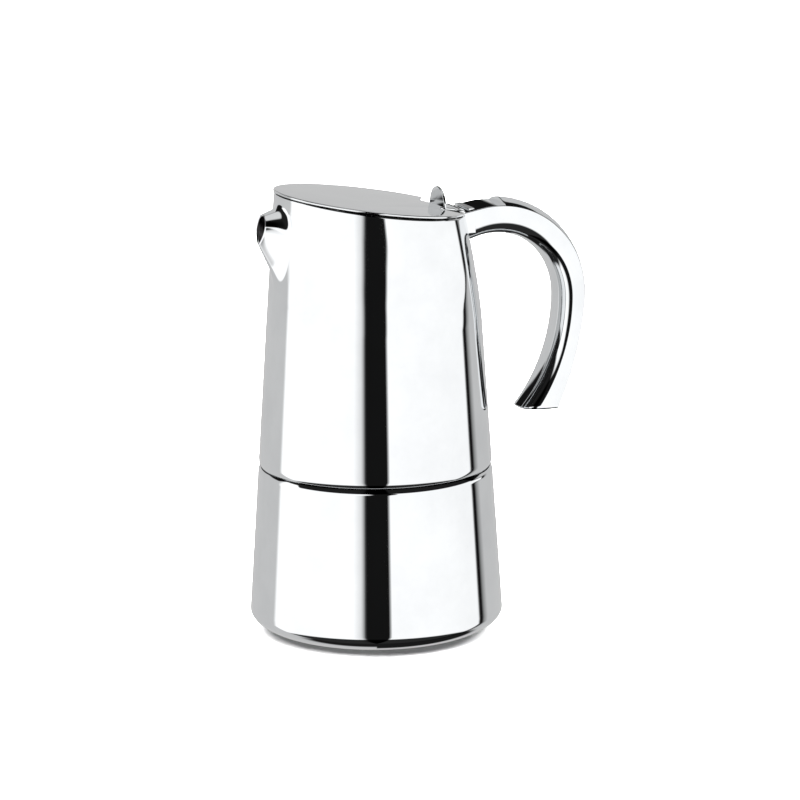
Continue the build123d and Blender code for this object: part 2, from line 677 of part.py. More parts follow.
def make_hinge_bracket():
    """The bracket, with a slot in which the barrel and the lid's edge turn."""
    upwards = (Align.CENTER, Align.CENTER, Align.MIN)
    forwards = (Align.MAX, Align.CENTER, Align.MIN)
    slot = along_y(SWING_RADIUS, -SLOT_HALF, SLOT_HALF, x=HINGE_X, z=HINGE_Z)
    slot += Pos(HINGE_X, 0, HINGE_Z) * Box(2 * SWING_RADIUS, 2 * SLOT_HALF, HUGE, align=upwards)
    slot += Pos(HINGE_X, 0, HINGE_Z - SWING_RADIUS) * Box(HUGE, 2 * SLOT_HALF, HUGE, align=forwards)
    hole = along_y(PIN_RADIUS, -BRACKET_HALF, BRACKET_HALF, x=HINGE_X, z=HINGE_Z)
    return bracket_block() - slot - hole


def make_hinge_pin():
    return along_y(PIN_RADIUS, -BRACKET_HALF, BRACKET_HALF, x=HINGE_X, z=HINGE_Z)


def make_lid_disc():
    """The slanted disc, with a notch on each side of the tongue."""
    top = slant_plane(LID_TOP)
    centre = RIM_OFFSET / cos(radians(RIM_SLANT))
    disc = extrude(top * Pos(centre, 0) * Circle(LID_RADIUS), -LID_THICK)
    rim_x = RIM_OFFSET + sqrt(LID_RADIUS ** 2 - NOTCH_RIM_Y ** 2)
    for side in (1, -1):
        corners = [
            (rim_x, side * NOTCH_RIM_Y),
            (NOTCH_X, side * NOTCH_Y),
            (NOTCH_X + NOTCH_SLOPE, side * TONGUE_HALF),
            (HUGE, side * TONGUE_HALF),
            (HUGE, side * NOTCH_RIM_Y),
        ]
        notch = extrude(make_face(Polyline(corners, close=True)), HUGE)
        disc -= notch
    end = HINGE_X - BARREL_RADIUS - HINGE_GAP
    return disc - beyond(end)


def make_lid_tongue():
    """The plate under the disc's back edge, with the hinge barrel."""
    top = slant_plane(LID_TOP - LID_THICK / cos(radians(RIM_SLANT)))
    start = NOTCH_X - TONGUE_LAP
    outline = Pos((start + HINGE_X) / 2, 0) * Rectangle(HINGE_X - start, 2 * TONGUE_HALF)
    plate = extrude(top * outline, -TONGUE_THICK)
    barrel = along_y(BARREL_RADIUS, -TONGUE_HALF, TONGUE_HALF, x=HINGE_X, z=HINGE_Z)
    hole = along_y(PIN_RADIUS + PIN_CLEARANCE, -TONGUE_HALF, TONGUE_HALF, x=HINGE_X, z=HINGE_Z)
    return plate + barrel - hole


def make_lid_tab():
    """The upright half-oval thumb tab."""
    base = LID_TOP - TAB_X * SLOPE
    plane = Plane(origin=(TAB_X, 0, base), x_dir=(0, 1, 0), z_dir=(1, 0, 0))
    half = TAB_WIDTH / 2
    arch = EllipticalCenterArc((0, 0), half, TAB_HEIGHT, start_angle=0, arc_size=180)
    face = make_face(Curve() + [arch, Line((-half, 0), (half, 0))])
    tab = extrude(plane * face, TAB_THICK / 2, both=True)
    sole = plane * Pos(0, -TAB_FOOT / 2) * Rectangle(TAB_WIDTH, TAB_FOOT)
    foot = extrude(sole, TAB_THICK / 2, both=True)
    lid_below = extrude(slant_plane(LID_TOP) * Rectangle(HUGE, HUGE), -HUGE / 2)
    return tab + foot - lid_below


# ---------------------------------------------------------------- every node

NODES = {
    "boiler_shell": make_boiler_shell,
    "boiler_neck": make_boiler_neck,
    "valve_boss": make_valve_boss,
    "valve_washer": make_valve_washer,
    "valve_body": make_valve_body,
    "valve_poppet": make_valve_poppet,
    "valve_spring": make_valve_spring,
    "valve_cap": make_valve_cap,
    "funnel_cup": make_funnel_cup,
    "funnel_stem": make_funnel_stem,
    "funnel_sieve": make_funnel_sieve,
    "gasket": make_gasket,
    "filter_plate": make_filter_plate,
    "collector_shell": make_collector_shell,
    "collector_ring": make_collector_ring,
    "collector_floor": make_collector_floor,
    "riser_tube": make_riser_tube,
    "riser_cap": make_riser_cap,
    "spout": make_spout,
    "handle_channel": make_handle_channel,
    "handle_cover": make_handle_cover,
    "handle_deck": make_handle_deck,
    "handle_end_cap": make_handle_end_cap,
    "hinge_bracket": make_hinge_bracket,
    "hinge_pin": make_hinge_pin,
    "lid_disc": make_lid_disc,
    "lid_tongue": make_lid_tongue,
    "lid_tab": make_lid_tab,
}

os.makedirs("parts", exist_ok=True)
for node, make in NODES.items():
    export_step(make(), f"parts/{node}.step")
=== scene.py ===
import bpy
import json
import math
import numpy as np
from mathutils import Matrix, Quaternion, Vector


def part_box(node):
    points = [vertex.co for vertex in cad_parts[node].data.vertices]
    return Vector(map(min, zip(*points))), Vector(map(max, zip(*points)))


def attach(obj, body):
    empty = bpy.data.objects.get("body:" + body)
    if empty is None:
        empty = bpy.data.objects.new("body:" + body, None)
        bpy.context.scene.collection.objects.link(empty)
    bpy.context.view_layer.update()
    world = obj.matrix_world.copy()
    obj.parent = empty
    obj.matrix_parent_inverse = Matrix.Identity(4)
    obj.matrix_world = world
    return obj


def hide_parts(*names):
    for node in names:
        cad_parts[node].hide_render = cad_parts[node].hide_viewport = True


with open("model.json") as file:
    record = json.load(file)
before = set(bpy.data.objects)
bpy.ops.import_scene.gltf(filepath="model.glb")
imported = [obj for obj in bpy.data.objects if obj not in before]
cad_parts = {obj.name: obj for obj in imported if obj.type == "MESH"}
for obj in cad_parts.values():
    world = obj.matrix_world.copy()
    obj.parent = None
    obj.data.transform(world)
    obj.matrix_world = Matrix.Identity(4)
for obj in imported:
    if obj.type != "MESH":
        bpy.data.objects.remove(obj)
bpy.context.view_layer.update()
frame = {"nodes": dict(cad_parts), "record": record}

MM = 0.001

# ---------------------------------------------------------------- sizes, in millimetres, as in the CAD

BASE_RADIUS = 50.2
BASE_ROUND_HEIGHT = 9.0
BASE_ROUND_DEPTH = 22.0
TAPER = 0.0655
SEAM_HEIGHT = 67.2
SEAM_GAP = 0.3
RIM_HEIGHT = 171.9
RIM_PULL = 4.0
RIM_PULL_DROP = 45.9
RIM_PULL_POWER = 1.6
RIM_SLANT = math.radians(8.2)
BODY_WALL = 0.9
LIP_HEIGHT = 2.6
LIP_DEPTH = 0.8
SHOULDER_WIDTH = 10.4
NECK_WALL = 2.0
NECK_HEIGHT = 13.0
NECK_FLANGE = 3.0
NECK_SKIRT = 5.0
THREAD_CLEARANCE = 0.3
RING_WALL = 3.0
LID_OVERHANG = 0.1
LID_THICK = 0.9
LID_GAP = 0.35
NOTCH_RIM_Y = 21.3
NOTCH_INSET = 12.0
NOTCH_Y = 9.6
NOTCH_SLOPE = 2.0
TONGUE_HALF = 6.8
TAB_INSET = 8.3
TAB_HEIGHT = 7.5
TAB_WIDTH = 15.2
TAB_THICK = 1.1
HINGE_INSET = 1.5
HINGE_DROP = 1.9
HINGE_GAP = 0.3
BARREL_RADIUS = 1.9
BRACKET_FOOT = 8.0
BRACKET_BACK = 5.0
HANDLE_WIDTH = 17.2
HANDLE_CROWN = 2.3
HANDLE_INSET = 0.7
DECK_LENGTH = 17.6
HANDLE_END = 84.2
MOUTH_LEAN = math.radians(10.0)
SPOUT_REACH = 7.6

BOILER_TOP = SEAM_HEIGHT - SEAM_GAP / 2
COLLECTOR_FOOT = SEAM_HEIGHT + SEAM_GAP / 2
NECK_TOP = SEAM_HEIGHT + NECK_HEIGHT
SLOPE = math.tan(RIM_SLANT)
LID_TOP = RIM_HEIGHT + (LID_GAP + LID_THICK) / math.cos(RIM_SLANT)


def wall_radius(height):
    """Outside radius of the tapered wall, before it bends in under the rim."""
    return BASE_RADIUS - TAPER * (height - BASE_ROUND_HEIGHT)


RIM_BACK = (wall_radius(RIM_HEIGHT) - RIM_PULL) / (1 - TAPER * SLOPE)
RIM_FRONT = wall_radius(RIM_HEIGHT) / (1 + TAPER * SLOPE)
RIM_OFFSET = (RIM_BACK - RIM_FRONT) / 2
STRAIGHT_TOP = RIM_HEIGHT - RIM_PULL_DROP
NECK_RADIUS = wall_radius(SEAM_HEIGHT) - SHOULDER_WIDTH
RING_BORE = NECK_RADIUS + THREAD_CLEARANCE
RING_RADIUS = RING_BORE + RING_WALL
LID_RADIUS = (RIM_FRONT + RIM_BACK) / 2 + LID_OVERHANG
HINGE_X = RIM_BACK - HINGE_INSET
HINGE_Z = LID_TOP - SLOPE * HINGE_X - HINGE_DROP / math.cos(RIM_SLANT)
NOTCH_X = RIM_BACK - NOTCH_INSET
TAB_X = RIM_BACK - TAB_INSET
HANDLE_START = RIM_BACK - HANDLE_INSET
DECK_END = HANDLE_START + DECK_LENGTH


# ---------------------------------------------------------------- mesh helpers

def ease(value):
    value = min(max(value, 0.0), 1.0)
    return value * value * (3 - 2 * value)


class Build:
    """Vertices in millimetres, and faces, gathered for one piece."""

    def __init__(self):
        self.verts = []
        self.faces = []

    def add(self, point):
        self.verts.append(tuple(float(c) * MM for c in point))
        return len(self.verts) - 1

    def row(self, points):
        return [self.add(p) for p in points]

    def join(self, low, high, closed=True, flip=False):
        """Quads between two rows of vertex numbers."""
        count = len(low)
        for k in range(count if closed else count - 1):
            n = (k + 1) % count
            quad = [low[k], low[n], high[n], high[k]]
            quad = [v for i, v in enumerate(quad) if v != quad[i - 1]]
            if len(quad) > 2:
                self.faces.append(quad[::-1] if flip else quad)

    def fan(self, row, centre, flip=False):
        middle = self.add(centre)
        count = len(row)
        for k in range(count):
            n = (k + 1) % count
            tri = [row[k], row[n], middle]
            self.faces.append(tri[::-1] if flip else tri)

    def cap(self, row, flip=False):
        self.faces.append(row[::-1] if flip else list(row))

    def finish(self, name, body, material, replaced, sharp=32.0):
        mesh = bpy.data.meshes.new(name)
        mesh.from_pydata(self.verts, [], self.faces)
        mesh.validate()
        mesh.update()
        mesh.polygons.foreach_set("use_smooth", [True] * len(mesh.polygons))
        mesh.set_sharp_from_angle(angle=math.radians(sharp))
        piece = bpy.data.objects.new(name, mesh)
        bpy.context.scene.collection.objects.link(piece)
        piece.data.materials.append(material)
        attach(piece, body)
        if replaced:
            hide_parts(*replaced)
        return piece


def turn(build, outline, columns=256):
    """Revolves an outline of (radius, height) points about the pot's axis."""
    rows = []
    for radius, height in outline:
        if radius < 1e-6:
            rows.append(None)
            continue
        angles = np.linspace(0, 2 * math.pi, columns, endpoint=False)
        rows.append(build.row([(radius * math.cos(a), radius * math.sin(a), height) for a in angles]))
    order = list(range(len(rows))) + [0]
    for k, n in zip(order[:-1], order[1:]):
        if rows[k] is None and rows[n] is None:
            continue
        if rows[k] is None:
            build.fan(rows[n], (0, 0, outline[k][1]), flip=True)
        elif rows[n] is None:
            build.fan(rows[k], (0, 0, outline[n][1]))
        else:
            build.join(rows[k], rows[n])
    return rows


def arc(centre, wide, high, start, end, count):
    """Points on an ellipse's arc, angles in degrees."""
    angles = np.radians(np.linspace(start, end, count))
    return [(centre[0] + wide * math.cos(a), centre[1] + high * math.sin(a)) for a in angles]


# ---------------------------------------------------------------- materials

def node_tree(name):
    material = bpy.data.materials.new(name)
    material.use_nodes = True
    tree = material.node_tree
    tree.nodes.clear()
    shader = tree.nodes.new("ShaderNodeBsdfPrincipled")
    output = tree.nodes.new("ShaderNodeOutputMaterial")
    tree.links.new(shader.outputs["BSDF"], output.inputs["Surface"])
    return material, tree, shader


def noise(tree, scale, detail=2.0, stretch=None, rough=0.5):
    """A noise in object coordinates, which may be stretched along an axis."""
    where = tree.nodes.new("ShaderNodeTexCoord")
    mapping = tree.nodes.new("ShaderNodeMapping")
    mapping.inputs["Scale"].default_value = stretch or (1, 1, 1)
    texture = tree.nodes.new("ShaderNodeTexNoise")
    texture.inputs["Scale"].default_value = scale
    texture.inputs["Detail"].default_value = detail
    texture.inputs["Roughness"].default_value = rough
    tree.links.new(where.outputs["Object"], mapping.inputs["Vector"])
    tree.links.new(mapping.outputs["Vector"], texture.inputs["Vector"])
    return texture.outputs["Fac"]


def spread(tree, value, low, high, start=0.35, end=0.65):
    """Maps a texture's value from start..end to low..high."""
    node = tree.nodes.new("ShaderNodeMapRange")
    node.inputs["From Min"].default_value = start
    node.inputs["From Max"].default_value = end
    node.inputs["To Min"].default_value = low
    node.inputs["To Max"].default_value = high
    tree.links.new(value, node.inputs["Value"])
    return node.outputs["Result"]


def tint(tree, value, low, high):
    node = tree.nodes.new("ShaderNodeMix")
    node.data_type = "RGBA"
    node.inputs["A"].default_value = (*low, 1)
    node.inputs["B"].default_value = (*high, 1)
    tree.links.new(value, node.inputs["Factor"])
    return node.outputs["Result"]


def add(tree, first, second):
    node = tree.nodes.new("ShaderNodeMath")
    node.operation = "ADD"
    tree.links.new(first, node.inputs[0])
    tree.links.new(second, node.inputs[1])
    return node.outputs["Value"]


def bump(tree, shader, value, strength, distance=0.00005):
    node = tree.nodes.new("ShaderNodeBump")
    node.inputs["Strength"].default_value = strength
    node.inputs["Distance"].default_value = distance
    tree.links.new(value, node.inputs["Height"])
    tree.links.new(node.outputs["Normal"], shader.inputs["Normal"])


def metal(name, dark, light, rough, patches=60.0, grain=None, grain_scale=900.0, strength=0.02):
    """Metal whose roughness drifts in soft patches, with fine polishing marks along one direction."""
    material, tree, shader = node_tree(name)
    shader.inputs["Metallic"].default_value = 1.0
    wear = noise(tree, patches, 4.0, rough=0.6)
    marks = noise(tree, grain_scale, 3.0, grain)
    tree.links.new(tint(tree, spread(tree, wear, 0.0, 1.0), dark, light), shader.inputs["Base Color"])
    drift = spread(tree, wear, rough[0], rough[1])
    fine = spread(tree, marks, 0.0, rough[1] * 0.35, 0.45, 0.8)
    tree.links.new(add(tree, drift, fine), shader.inputs["Roughness"])
    bump(tree, shader, marks, strength)
    return material


POLISHED = metal(
    "polished_steel", (0.785, 0.80, 0.812), (0.845, 0.86, 0.87), (0.02, 0.04),
    patches=35.0, grain=(1, 1, 0.05), strength=0.006,
)
LID_STEEL = metal(
    "lid_steel", (0.74, 0.755, 0.765), (0.80, 0.815, 0.825), (0.05, 0.09),
    patches=30.0, grain=(0.06, 1, 1), strength=0.01,
)
SATIN = metal(
    "satin_steel", (0.50, 0.50, 0.49), (0.62, 0.62, 0.61), (0.24, 0.36),
    patches=80.0, grain=(1, 1, 0.08), grain_scale=1500.0, strength=0.12,
)
TURNED = metal(
    "turned_steel", (0.52, 0.52, 0.51), (0.64, 0.64, 0.63), (0.18, 0.30),
    patches=80.0, grain=(0.1, 0.1, 1), grain_scale=2500.0, strength=0.15,
)
SPRING = metal(
    "spring_steel", (0.34, 0.34, 0.34), (0.46, 0.46, 0.45), (0.22, 0.34),
    patches=300.0, grain_scale=3000.0, strength=0.08,
)
BRASS = metal(
    "valve_brass", (0.68, 0.47, 0.19), (0.83, 0.62, 0.30), (0.16, 0.30),
    patches=260.0, grain=(1, 0.15, 1), grain_scale=2500.0, strength=0.1,
)


def rubber():
    material, tree, shader = node_tree("seal_rubber")
    cloud = noise(tree, 120.0, 4.0)
    speck = noise(tree, 2600.0, 2.0)
    tree.links.new(
        tint(tree, spread(tree, cloud, 0.0, 1.0), (0.66, 0.65, 0.60), (0.78, 0.77, 0.72)),
        shader.inputs["Base Color"],
    )
    tree.links.new(spread(tree, cloud, 0.45, 0.62), shader.inputs["Roughness"])
    shader.inputs["Subsurface Weight"].default_value = 0.1
    shader.inputs["Subsurface Radius"].default_value = (0.002, 0.0018, 0.0015)
    bump(tree, shader, speck, 0.2)
    return material


RUBBER = rubber()
FINISH = {
    "polished_steel": POLISHED,
    "lid_steel": LID_STEEL,
    "satin_steel": SATIN,
    "turned_steel": TURNED,
    "spring_steel": SPRING,
    "valve_brass": BRASS,
    "seal_rubber": RUBBER,
}
for part in frame["record"]["subparts"]:
    node = frame["nodes"].get(part["node"])
    if node:
        node.data.materials.clear()
        node.data.materials.append(FINISH[part["material_slot"]])


# ---------------------------------------------------------------- the wall of the pot

def wall_circle(height):
    """Centre along X and radius of the wall at a height. The handle side bends in under the rim."""
    side = wall_radius(height)
    share = max(height - STRAIGHT_TOP, 0.0) / (RIM_HEIGHT - SLOPE * RIM_BACK - STRAIGHT_TOP)
    bent = RIM_PULL * share ** RIM_PULL_POWER
    return -bent / 2, side - bent / 2


def on_wall(angle, height, inset=0.0):
    centre, radius = wall_circle(height)
    return np.array([
        centre + (radius - inset) * math.cos(angle), (radius - inset) * math.sin(angle), height
    ])


def rim_height(angle):
    """Height at which the wall meets the slanted rim."""
    height = RIM_HEIGHT
    for _ in range(12):
        height = RIM_HEIGHT - SLOPE * on_wall(angle, height)[0]
    return height


def wall_at(y, height, side):
    """The wall's point with this Y, on the spout's side (-1) or the handle's (+1)."""
    centre, radius = wall_circle(height)
    return np.array([centre + side * math.sqrt(radius * radius - y * y), y, height])


# ---------------------------------------------------------------- boiler

def lip_arc(inset, way):
    """The rolled edge at the seam, from the wall to its tip, for the boiler (1) or the collector (-1)."""
    tip = BOILER_TOP if way > 0 else COLLECTOR_FOOT
    start = tip - way * LIP_HEIGHT
    radius = (LIP_HEIGHT ** 2 + LIP_DEPTH ** 2) / (2 * LIP_DEPTH)
    sweep = 2 * math.atan2(LIP_DEPTH, LIP_HEIGHT)
    centre = wall_radius(start) - radius
    return [
        (centre + (radius - inset) * math.cos(a), start + way * (radius - inset) * math.sin(a))
        for a in np.linspace(0, sweep, 14)
    ]


def corner(inset):
    """The rounded bottom edge, from the flat base to the wall."""
    centre = (BASE_RADIUS - BASE_ROUND_DEPTH, BASE_ROUND_HEIGHT)
    return arc(centre, BASE_ROUND_DEPTH - inset, BASE_ROUND_HEIGHT - inset, -90, 0, 40)


# the shallow hollow under the base: distance in from the rounded edge, and height
BASE_HOLLOW = [(2.4, 0.3), (1.8, 0.2), (1.1, 0.05), (0.5, 0.0)]


def make_boiler():
    build = Build()
    foot = BASE_RADIUS - BASE_ROUND_DEPTH
    outside = [(0, BASE_HOLLOW[0][1])] + [(foot - back, height) for back, height in BASE_HOLLOW]
    outside += corner(0.0)
    steps = np.linspace(BASE_ROUND_HEIGHT, BOILER_TOP - LIP_HEIGHT, 30)[1:-1]
    outside += [(wall_radius(z), z) for z in steps]
    outside += lip_arc(0.0, 1) + [(NECK_RADIUS, BOILER_TOP)]
    inside = [(NECK_RADIUS, BOILER_TOP - BODY_WALL)] + lip_arc(BODY_WALL, 1)[::-1]
    inside += [(wall_radius(z) - BODY_WALL, z) for z in steps[::-1]]
    inside += corner(BODY_WALL)[::-1] + [(0, BODY_WALL)]
    turn(build, outside + inside)
    return build.finish("boiler_wall", "boiler", POLISHED, ["boiler_shell"])


THREAD_PITCH = 2.6
THREAD_DEPTH = 0.42


def threaded(build, outline, crest, low, high, outwards, columns=180):
    """Revolves an outline whose wall between two heights carries a screw thread."""
    rows = []
    for radius, height in outline:
        ring = []
        for k in range(columns):
            angle = 2 * math.pi * k / columns
            r = radius
            if abs(radius - crest) < 1e-6 and low <= height <= high:
                turn_at = (height - low) / THREAD_PITCH - k / columns
                wave = 0.5 - 0.5 * math.cos(2 * math.pi * turn_at)
                fade = ease((height - low) / 1.2) * ease((high - height) / 1.2)
                r -= outwards * THREAD_DEPTH * wave ** 0.7 * fade
            ring.append((r * math.cos(angle), r * math.sin(angle), height))
        rows.append(build.row(ring))
    for k in range(len(rows)):
        build.join(rows[k], rows[(k + 1) % len(rows)])


def make_neck():
    build = Build()
    under = BOILER_TOP - BODY_WALL
    bore = NECK_RADIUS - NECK_WALL
    flange = NECK_RADIUS + NECK_FLANGE
    ledge = under - 2 * BODY_WALL
    steps = np.linspace(BOILER_TOP + 0.6, NECK_TOP - 0.5, 56)
    outline = [
        (bore, under - NECK_SKIRT), (NECK_RADIUS, under - NECK_SKIRT), (NECK_RADIUS, ledge),
        (flange, ledge), (flange, under), (NECK_RADIUS, under),
    ]
    outline += [(NECK_RADIUS, z) for z in steps]
    outline += [(NECK_RADIUS - 0.4, NECK_TOP), (bore + 0.3, NECK_TOP), (bore, NECK_TOP - 0.3)]
    threaded(build, outline, NECK_RADIUS, steps[0], steps[-1], 1)
    return build.finish("boiler_threads", "boiler", TURNED, ["boiler_neck"])


# ---------------------------------------------------------------- collector

SPOUT_MIDDLE = 164.5
# egg outlines of the spout's mouth and of its footprint on the wall
MOUTH = {"low": 159.2, "widest": 166.2, "high": 170.9, "half": 4.8, "point": 1.5, "full": 0.7}
FOOTPRINT = {"low": 144.0, "widest": 162.5, "high": 173.4, "half": 9.8, "point": 1.8, "full": 0.6}


def egg(shape, count=60):
    """Half of an egg outline as (half width, height): pointed below its widest place, round above."""
    made = []
    for a in np.linspace(-math.pi / 2, math.pi / 2, count):
        if a < 0:
            away = -math.sin(a)
            width = max(1 - away ** shape["point"], 0.0) ** shape["full"]
            height = shape["widest"] - away * (shape["widest"] - shape["low"])
        else:
            width = math.cos(a)
            height = shape["widest"] + math.sin(a) * (shape["high"] - shape["widest"])
        made.append((shape["half"] * width, height))
    return np.array(made)


def reach(shape):
    """Distance from the spout's middle to a closed shape, for every direction."""
    half = egg(shape)
    loop = np.concatenate([half, (half * [-1, 1])[::-1]])
    angles = np.arctan2(loop[:, 1] - SPOUT_MIDDLE, loop[:, 0])
    order = np.argsort(angles)
    lengths = np.hypot(loop[:, 0], loop[:, 1] - SPOUT_MIDDLE)
    return lambda angle: float(np.interp(angle, angles[order], lengths[order], period=2 * math.pi))


def mouth_point(y, z):
    level = (MOUTH["low"] + MOUTH["high"]) / 2
    return np.array([-wall_radius(level) - SPOUT_REACH + (z - level) * math.tan(MOUTH_LEAN), y, z])


def spout_rib(angle, mouth, footprint, steps):
    """One curve of the spout's skin, from the wall to the mouth."""
    along = np.array([math.cos(angle), math.sin(angle)])
    far = along * footprint(angle)
    near = along * mouth(angle)
    foot = wall_at(far[0], SPOUT_MIDDLE + far[1], -1)
    lip = mouth_point(near[0], SPOUT_MIDDLE + near[1])
    downwards = max(-along[1], 0.0)
    upwards = max(along[1], 0.0)
    blend = 1.3 + 1.4 * upwards ** 2 + 4.0 * downwards ** 6
    outer = along * (footprint(angle) + blend)
    start = wall_at(outer[0], SPOUT_MIDDLE + outer[1], -1)
    length = np.linalg.norm(lip - foot)
    end = foot + (lip - foot) * min(blend * 1.15 / length, 0.85)
    curve = [
        (1 - t) ** 2 * start + 2 * t * (1 - t) * foot + t * t * end
        for t in np.linspace(0, 1, steps // 2 + 1)
    ]
    curve += [end + (lip - end) * t for t in np.linspace(0, 1, steps // 2 + 1)[1:]]
    return curve, outer


def make_collector():
    """Wall, lip and spout in one skin, with the sheet's thickness added to its inside."""
    build = Build()
    columns = 256
    angles = [2 * math.pi * k / columns for k in range(columns)]
    lip_top = COLLECTOR_FOOT + LIP_HEIGHT
    lip_rows = [(RING_RADIUS, COLLECTOR_FOOT), (RING_RADIUS + 3.0, COLLECTOR_FOOT)]
    lip_rows += lip_arc(0.0, -1)[::-1]
    rows = [
        build.row([(r * math.cos(a), r * math.sin(a), z) for a in angles]) for r, z in lip_rows
    ]
    tops = [rim_height(a) - RIM_DROP for a in angles]
    levels = np.linspace(0, 1, 121)[1:]
    for level in levels:
        rows.append(build.row([
            on_wall(a, lip_top + (top - lip_top) * level) for a, top in zip(angles, tops)
        ]))
    first = len(lip_rows)
    low_row = first + int(0.60 * len(levels))
    high_row = len(rows) - 2
    half = 16
    middle = columns // 2
    for k in range(len(rows) - 1):
        for c in range(columns):
            inside = low_row <= k < high_row and middle - half <= c < middle + half
            if not inside:
                n = (c + 1) % columns
                build.faces.append([rows[k][c], rows[k][n], rows[k + 1][n], rows[k + 1][c]])
    border = [rows[low_row][c] for c in range(middle - half, middle + half)]
    border += [rows[k][middle + half] for k in range(low_row, high_row)]
    border += [rows[high_row][c] for c in range(middle + half, middle - half, -1)]
    border += [rows[k][middle - half] for k in range(high_row, low_row, -1)]
    mouth, footprint = reach(MOUTH), reach(FOOTPRINT)
    places = [np.array(build.verts[v]) / MM for v in border]
    turns = [math.atan2(p[2] - SPOUT_MIDDLE, p[1]) for p in places]
    ribs = [spout_rib(a, mouth, footprint, 28) for a in turns]
    previous = border
    for share in (0.25, 0.5, 0.75):
        ring = []
        for place, (curve, outer) in zip(places, ribs):
            flat = np.array([place[1], place[2] - SPOUT_MIDDLE]) * (1 - share) + outer * share
            ring.append(wall_at(flat[0], SPOUT_MIDDLE + flat[1], -1))
        ring = build.row(ring)
        build.join(previous, ring)
        previous = ring
    for step in range(len(ribs[0][0])):
        ring = build.row([curve[step] for curve, outer in ribs])
        build.join(previous, ring)
        previous = ring
    piece = build.finish(
        "collector_wall", "collector", POLISHED, ["collector_shell", "spout"]
    )
    piece.data.materials.append(SATIN)
    sheet = piece.modifiers.new("sheet", "SOLIDIFY")
    sheet.thickness = 0.85 * MM
    sheet.offset = -1.0
    sheet.material_offset = 1
    sheet.use_even_offset = False
    edge = piece.modifiers.new("edge", "BEVEL")
    edge.width = 0.22 * MM
    edge.segments = 2
    edge.limit_method = "ANGLE"
    edge.angle_limit = math.radians(60)
    edge.harden_normals = False
    return piece


def make_ring():
    build = Build()
    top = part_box("collector_ring")[1].z / MM
    steps = np.linspace(COLLECTOR_FOOT + 0.6, top - 0.5, 56)
    outline = [(RING_RADIUS, COLLECTOR_FOOT), (RING_RADIUS, top), (RING_BORE, top)]
    outline += [(RING_BORE, z) for z in steps[::-1]]
    outline += [(RING_BORE + 0.4, COLLECTOR_FOOT)]
    threaded(build, outline, RING_BORE, steps[0], steps[-1], -1)
    return build.finish("collector_threads", "collector", TURNED, ["collector_ring"])


# ---------------------------------------------------------------- handle

EDGE = {
    "centre": (RIM_BACK + 13.6, RIM_HEIGHT - 41.4), "bend": 38.0, "drop": 125.0, "root": 10.0, "turn": 5.0,
}
BELLY = {
    "centre": (RIM_BACK + 14.3, RIM_HEIGHT - 42.9), "bend": 27.5, "drop": 66.0, "root": 16.0, "turn": 0.0,
}
ROOT_LENGTH = 22.0
ROOT_SHARE = 0.16             # share of the sweep that is the straight root
BEND_SHARE = 0.72             # share at the end of the bend


def hook_point(line, share, end=HANDLE_END):
    """A point on a hook line, as (x, z) and its outward direction. The share runs from root to end."""
    cx, cz = line["centre"]
    root, drop_from = math.radians(line["root"]), math.radians(-line["turn"])
    bend, drop = line["bend"], line["drop"]
    if share <= ROOT_SHARE:
        out = (-math.sin(root), math.cos(root))
        back = ROOT_LENGTH * (1 - share / ROOT_SHARE)
        return (
            cx + out[0] * bend - math.cos(root) * back,
            cz + out[1] * bend - math.sin(root) * back,
        ), out
    start = math.pi / 2 + root
    if share <= BEND_SHARE:
        angle = start + (drop_from - start) * (share - ROOT_SHARE) / (BEND_SHARE - ROOT_SHARE)
        out = (math.cos(angle), math.sin(angle))
        return (cx + out[0] * bend, cz + out[1] * bend), out
    dx = cx - math.cos(drop_from) * (drop - bend)
    dz = cz - math.sin(drop_from) * (drop - bend)
    last = math.asin((end - dz) / drop)
    angle = drop_from + (last - drop_from) * (share - BEND_SHARE) / (1 - BEND_SHARE)
    out = (math.cos(angle), math.sin(angle))
    return (dx + out[0] * drop, dz + out[1] * drop), out


EDGE_ROUND = 0.32             # softness of the edge between the sides and the back
SIDE_SHARE = 0.15             # share of the depth that the flat sides take
BELLY_POWER = 2.7             # squareness of the rounded belly


def handle_section(share, end=HANDLE_END):
    """The sides and belly at one place, from the near edge round to the far edge."""
    edge, out = hook_point(EDGE, share, end)
    belly, _ = hook_point(BELLY, share, end)
    half = HANDLE_WIDTH / 2
    depth = math.hypot(belly[0] - edge[0], belly[1] - edge[1])
    inwards = ((belly[0] - edge[0]) / depth, (belly[1] - edge[1]) / depth)
    flat = SIDE_SHARE * depth
    places = [(half - EDGE_ROUND + EDGE_ROUND * math.sin(a), EDGE_ROUND * (1 - math.cos(a)))
              for a in np.linspace(0, math.pi / 2, 5)]
    places += [(half, EDGE_ROUND + (flat - EDGE_ROUND) * s) for s in np.linspace(0, 1, 8)[1:]]
    power = 2 / BELLY_POWER
    places += [(half * math.cos(a) ** power, flat + (depth - flat) * math.sin(a) ** power)
               for a in np.linspace(0, math.pi / 2, 30)[1:-1]]
    places.append((0.0, depth))
    near = [(-y, d) for y, d in places]
    far = [(y, d) for y, d in places[:-1]][::-1]
    return [
        np.array([edge[0] + inwards[0] * d, y, edge[1] + inwards[1] * d]) for y, d in near + far
    ]


def inside_wall(point, depth=0.45):
    """How far a point is outside a surface just under the wall's."""
    centre, radius = wall_circle(point[2])
    return math.hypot(point[0] - centre, point[1]) - (radius - depth)


